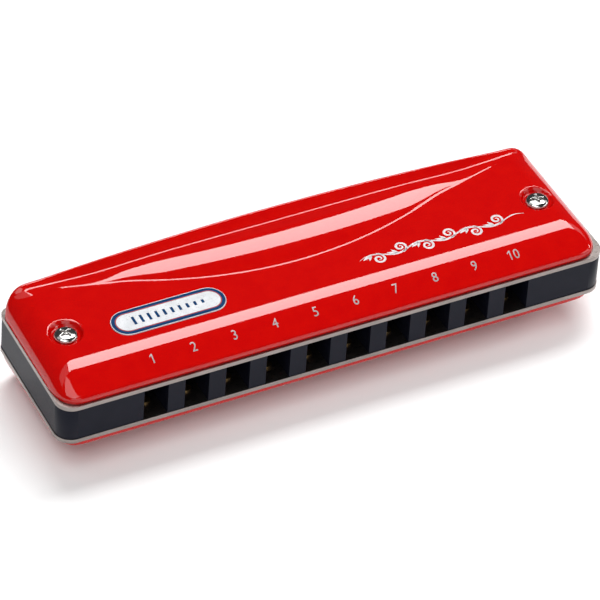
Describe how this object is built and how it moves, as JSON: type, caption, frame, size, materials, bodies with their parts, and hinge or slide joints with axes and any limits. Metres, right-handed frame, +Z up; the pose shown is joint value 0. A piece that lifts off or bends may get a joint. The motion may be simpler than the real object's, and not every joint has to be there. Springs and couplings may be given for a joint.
{
  "type": "harmonica",
  "caption": "Diatonic harmonica with red pressed cover plates, a black comb with square mouth holes, and sprung brass reeds on two metal reed plates.",
  "frame": {"origin": "centre of the bounding box's bottom, below the middle of the comb", "axes": "+X along the instrument from the lowest hole to the highest, +Y from the mouth holes to the open back, +Z up through the top cover"},
  "size_m": [0.1018, 0.027, 0.0212],
  "materials": {
    "comb_plastic": "satin moulded",
    "plate_metal": "fine brushed nickel silver",
    "cover_lacquer": "gloss red lacquer",
    "reed_brass": "milled",
    "rivet_brass": "bright",
    "screw_chrome": "bright plated",
    "small_screw_steel": "plain"
  },
  "bodies": {
    "harp": {"comb": "comb_plastic", "blow_reed_plate": "plate_metal", "draw_reed_plate": "plate_metal", "top_cover": "cover_lacquer", "bottom_cover": "cover_lacquer", "blow_reed_pads": "reed_brass", "draw_reed_pads": "reed_brass", "blow_reed_rivets": "rivet_brass", "draw_reed_rivets": "rivet_brass", "cover_screws": "screw_chrome", "cover_nuts": "screw_chrome", "reed_plate_screws": "small_screw_steel"},
    "blow_reed_1": {"blow_reed_1": "reed_brass"},
    "blow_reed_2": {"blow_reed_2": "reed_brass"},
    "blow_reed_3": {"blow_reed_3": "reed_brass"},
    "blow_reed_4": {"blow_reed_4": "reed_brass"},
    "blow_reed_5": {"blow_reed_5": "reed_brass"},
    "blow_reed_6": {"blow_reed_6": "reed_brass"},
    "blow_reed_7": {"blow_reed_7": "reed_brass"},
    "blow_reed_8": {"blow_reed_8": "reed_brass"},
    "blow_reed_9": {"blow_reed_9": "reed_brass"},
    "blow_reed_10": {"blow_reed_10": "reed_brass"},
    "draw_reed_1": {"draw_reed_1": "reed_brass"},
    "draw_reed_2": {"draw_reed_2": "reed_brass"},
    "draw_reed_3": {"draw_reed_3": "reed_brass"},
    "draw_reed_4": {"draw_reed_4": "reed_brass"},
    "draw_reed_5": {"draw_reed_5": "reed_brass"},
    "draw_reed_6": {"draw_reed_6": "reed_brass"},
    "draw_reed_7": {"draw_reed_7": "reed_brass"},
    "draw_reed_8": {"draw_reed_8": "reed_brass"},
    "draw_reed_9": {"draw_reed_9": "reed_brass"},
    "draw_reed_10": {"draw_reed_10": "reed_brass"}
  },
  "joints": [
    {"name": "blow_reed_1_bend", "type": "hinge", "parent": "harp", "child": "blow_reed_1", "pos_m": [-0.03375, -0.0077, 0.01367], "axis": [1, 0, 0], "range_deg": [-4, 4], "stiffness_Nm_per_rad": 0.03},
    {"name": "blow_reed_2_bend", "type": "hinge", "parent": "harp", "child": "blow_reed_2", "pos_m": [-0.02625, -0.0077, 0.01367], "axis": [1, 0, 0], "range_deg": [-4, 4], "stiffness_Nm_per_rad": 0.03},
    {"name": "blow_reed_3_bend", "type": "hinge", "parent": "harp", "child": "blow_reed_3", "pos_m": [-0.01875, -0.0077, 0.01367], "axis": [1, 0, 0], "range_deg": [-4, 4], "stiffness_Nm_per_rad": 0.03},
    {"name": "blow_reed_4_bend", "type": "hinge", "parent": "harp", "child": "blow_reed_4", "pos_m": [-0.01125, -0.0077, 0.01367], "axis": [1, 0, 0], "range_deg": [-4, 4], "stiffness_Nm_per_rad": 0.03},
    {"name": "blow_reed_5_bend", "type": "hinge", "parent": "harp", "child": "blow_reed_5", "pos_m": [-0.00375, -0.0077, 0.01367], "axis": [1, 0, 0], "range_deg": [-4, 4], "stiffness_Nm_per_rad": 0.03},
    {"name": "blow_reed_6_bend", "type": "hinge", "parent": "harp", "child": "blow_reed_6", "pos_m": [0.00375, -0.0077, 0.01367], "axis": [1, 0, 0], "range_deg": [-4, 4], "stiffness_Nm_per_rad": 0.03},
    {"name": "blow_reed_7_bend", "type": "hinge", "parent": "harp", "child": "blow_reed_7", "pos_m": [0.01125, -0.0077, 0.01367], "axis": [1, 0, 0], "range_deg": [-4, 4], "stiffness_Nm_per_rad": 0.03},
    {"name": "blow_reed_8_bend", "type": "hinge", "parent": "harp", "child": "blow_reed_8", "pos_m": [0.01875, -0.0077, 0.01367], "axis": [1, 0, 0], "range_deg": [-4, 4], "stiffness_Nm_per_rad": 0.03},
    {"name": "blow_reed_9_bend", "type": "hinge", "parent": "harp", "child": "blow_reed_9", "pos_m": [0.02625, -0.0077, 0.01367], "axis": [1, 0, 0], "range_deg": [-4, 4], "stiffness_Nm_per_rad": 0.03},
    {"name": "blow_reed_10_bend", "type": "hinge", "parent": "harp", "child": "blow_reed_10", "pos_m": [0.03375, -0.0077, 0.01367], "axis": [1, 0, 0], "range_deg": [-4, 4], "stiffness_Nm_per_rad": 0.03},
    {"name": "draw_reed_1_bend", "type": "hinge", "parent": "harp", "child": "draw_reed_1", "pos_m": [-0.03375, -0.0077, 0.00647], "axis": [1, 0, 0], "range_deg": [-4, 4], "stiffness_Nm_per_rad": 0.03},
    {"name": "draw_reed_2_bend", "type": "hinge", "parent": "harp", "child": "draw_reed_2", "pos_m": [-0.02625, -0.0077, 0.00647], "axis": [1, 0, 0], "range_deg": [-4, 4], "stiffness_Nm_per_rad": 0.03},
    {"name": "draw_reed_3_bend", "type": "hinge", "parent": "harp", "child": "draw_reed_3", "pos_m": [-0.01875, -0.0077, 0.00647], "axis": [1, 0, 0], "range_deg": [-4, 4], "stiffness_Nm_per_rad": 0.03},
    {"name": "draw_reed_4_bend", "type": "hinge", "parent": "harp", "child": "draw_reed_4", "pos_m": [-0.01125, -0.0077, 0.00647], "axis": [1, 0, 0], "range_deg": [-4, 4], "stiffness_Nm_per_rad": 0.03},
    {"name": "draw_reed_5_bend", "type": "hinge", "parent": "harp", "child": "draw_reed_5", "pos_m": [-0.00375, -0.0077, 0.00647], "axis": [1, 0, 0], "range_deg": [-4, 4], "stiffness_Nm_per_rad": 0.03},
    {"name": "draw_reed_6_bend", "type": "hinge", "parent": "harp", "child": "draw_reed_6", "pos_m": [0.00375, -0.0077, 0.00647], "axis": [1, 0, 0], "range_deg": [-4, 4], "stiffness_Nm_per_rad": 0.03},
    {"name": "draw_reed_7_bend", "type": "hinge", "parent": "harp", "child": "draw_reed_7", "pos_m": [0.01125, -0.0077, 0.00647], "axis": [1, 0, 0], "range_deg": [-4, 4], "stiffness_Nm_per_rad": 0.03},
    {"name": "draw_reed_8_bend", "type": "hinge", "parent": "harp", "child": "draw_reed_8", "pos_m": [0.01875, -0.0077, 0.00647], "axis": [1, 0, 0], "range_deg": [-4, 4], "stiffness_Nm_per_rad": 0.03},
    {"name": "draw_reed_9_bend", "type": "hinge", "parent": "harp", "child": "draw_reed_9", "pos_m": [0.02625, -0.0077, 0.00647], "axis": [1, 0, 0], "range_deg": [-4, 4], "stiffness_Nm_per_rad": 0.03},
    {"name": "draw_reed_10_bend", "type": "hinge", "parent": "harp", "child": "draw_reed_10", "pos_m": [0.03375, -0.0077, 0.00647], "axis": [1, 0, 0], "range_deg": [-4, 4], "stiffness_Nm_per_rad": 0.03}
  ]
}
